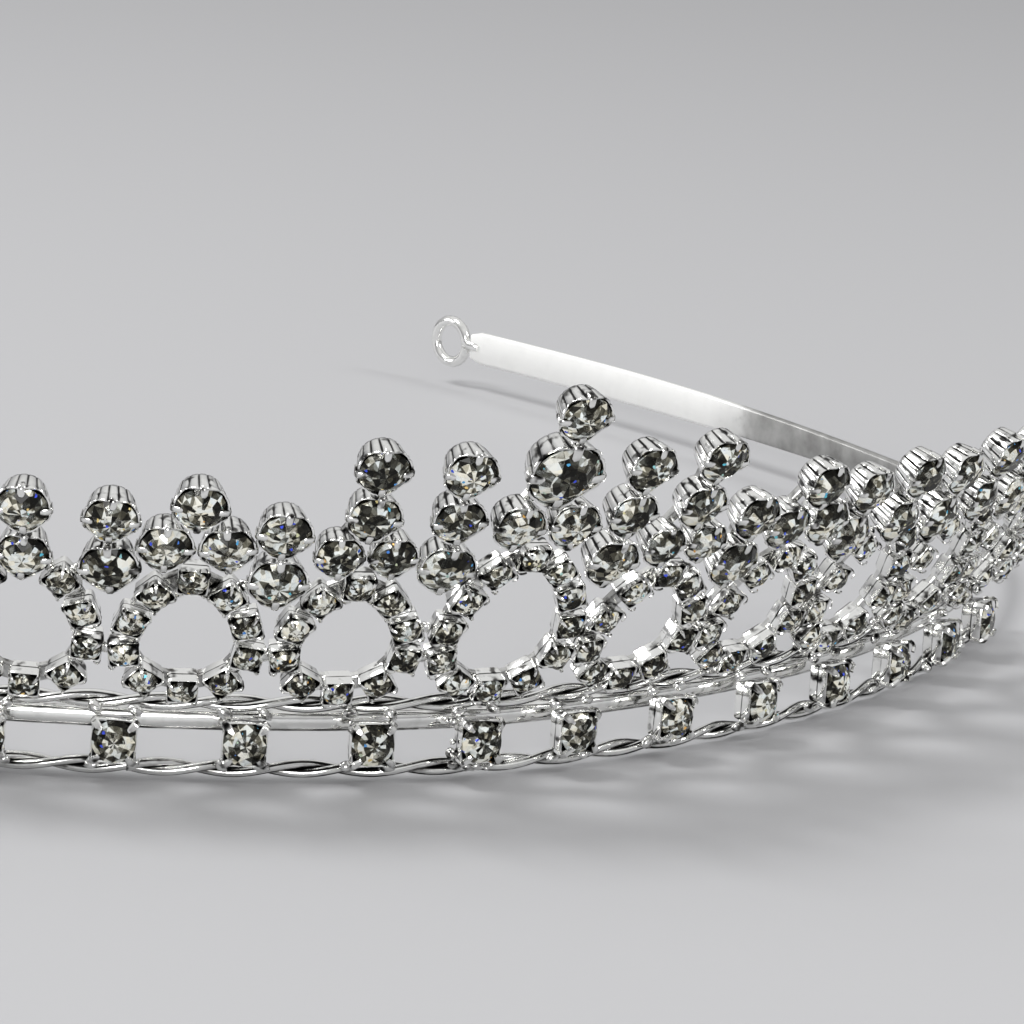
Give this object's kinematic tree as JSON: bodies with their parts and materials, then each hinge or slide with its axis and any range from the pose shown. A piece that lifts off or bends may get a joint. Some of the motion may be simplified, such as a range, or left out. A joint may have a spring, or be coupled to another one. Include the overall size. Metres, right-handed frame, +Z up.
{
  "type": "tiara",
  "caption": "Bridal rhinestone tiara: a C-shaped wire headband with eyelet ends carrying twisted-wire ropes, a stone border and leaning loops of cup chain under crests of prong-set stones.",
  "frame": {"origin": "the middle of the base of the bounding box, in the plane that the lower rope rests on", "axes": "+X from the wearer's-right end of the band towards its left end as seen from the front, +Y from the stones towards the open back of the headband, +Z up from the resting plane"},
  "size_m": [0.1454, 0.144, 0.0302],
  "materials": {
    "silver_plate": "bright silver plate over wire and pressed cups, with set stones",
    "crystal": "foil-backed cut crystal"
  },
  "bodies": {
    "root": {"border_centre": "silver_plate", "border_left_1": "silver_plate", "border_left_2": "silver_plate", "border_left_3": "silver_plate", "border_left_4": "silver_plate", "border_left_5": "silver_plate", "border_left_6": "silver_plate", "border_left_7": "silver_plate", "border_right_1": "silver_plate", "border_right_2": "silver_plate", "border_right_3": "silver_plate", "border_right_4": "silver_plate", "border_right_5": "silver_plate", "border_right_6": "silver_plate", "border_right_7": "silver_plate", "centre_stone": "crystal", "crest_centre": "silver_plate", "crest_left_1": "silver_plate", "crest_left_2": "silver_plate", "crest_left_3": "silver_plate", "crest_left_4": "silver_plate", "crest_left_5": "silver_plate", "crest_left_6": "silver_plate", "crest_right_1": "silver_plate", "crest_right_2": "silver_plate", "crest_right_3": "silver_plate", "crest_right_4": "silver_plate", "crest_right_5": "silver_plate", "crest_right_6": "silver_plate", "crown_stone": "crystal", "headband": "silver_plate", "junction_left_1": "silver_plate", "junction_left_2": "silver_plate", "junction_left_3": "silver_plate", "junction_left_4": "silver_plate", "junction_left_5": "silver_plate", "junction_left_6": "silver_plate", "junction_right_1": "silver_plate", "junction_right_2": "silver_plate", "junction_right_3": "silver_plate", "junction_right_4": "silver_plate", "junction_right_5": "silver_plate", "junction_right_6": "silver_plate", "loop_centre": "silver_plate", "loop_left_1": "silver_plate", "loop_left_2": "silver_plate", "loop_left_3": "silver_plate", "loop_left_4": "silver_plate", "loop_left_5": "silver_plate", "loop_left_6": "silver_plate", "loop_right_1": "silver_plate", "loop_right_2": "silver_plate", "loop_right_3": "silver_plate", "loop_right_4": "silver_plate", "loop_right_5": "silver_plate", "loop_right_6": "silver_plate", "lower_rope_strand_a": "silver_plate", "lower_rope_strand_b": "silver_plate", "upper_rope_strand_a": "silver_plate", "upper_rope_strand_b": "silver_plate"}
  },
  "joints": []
}
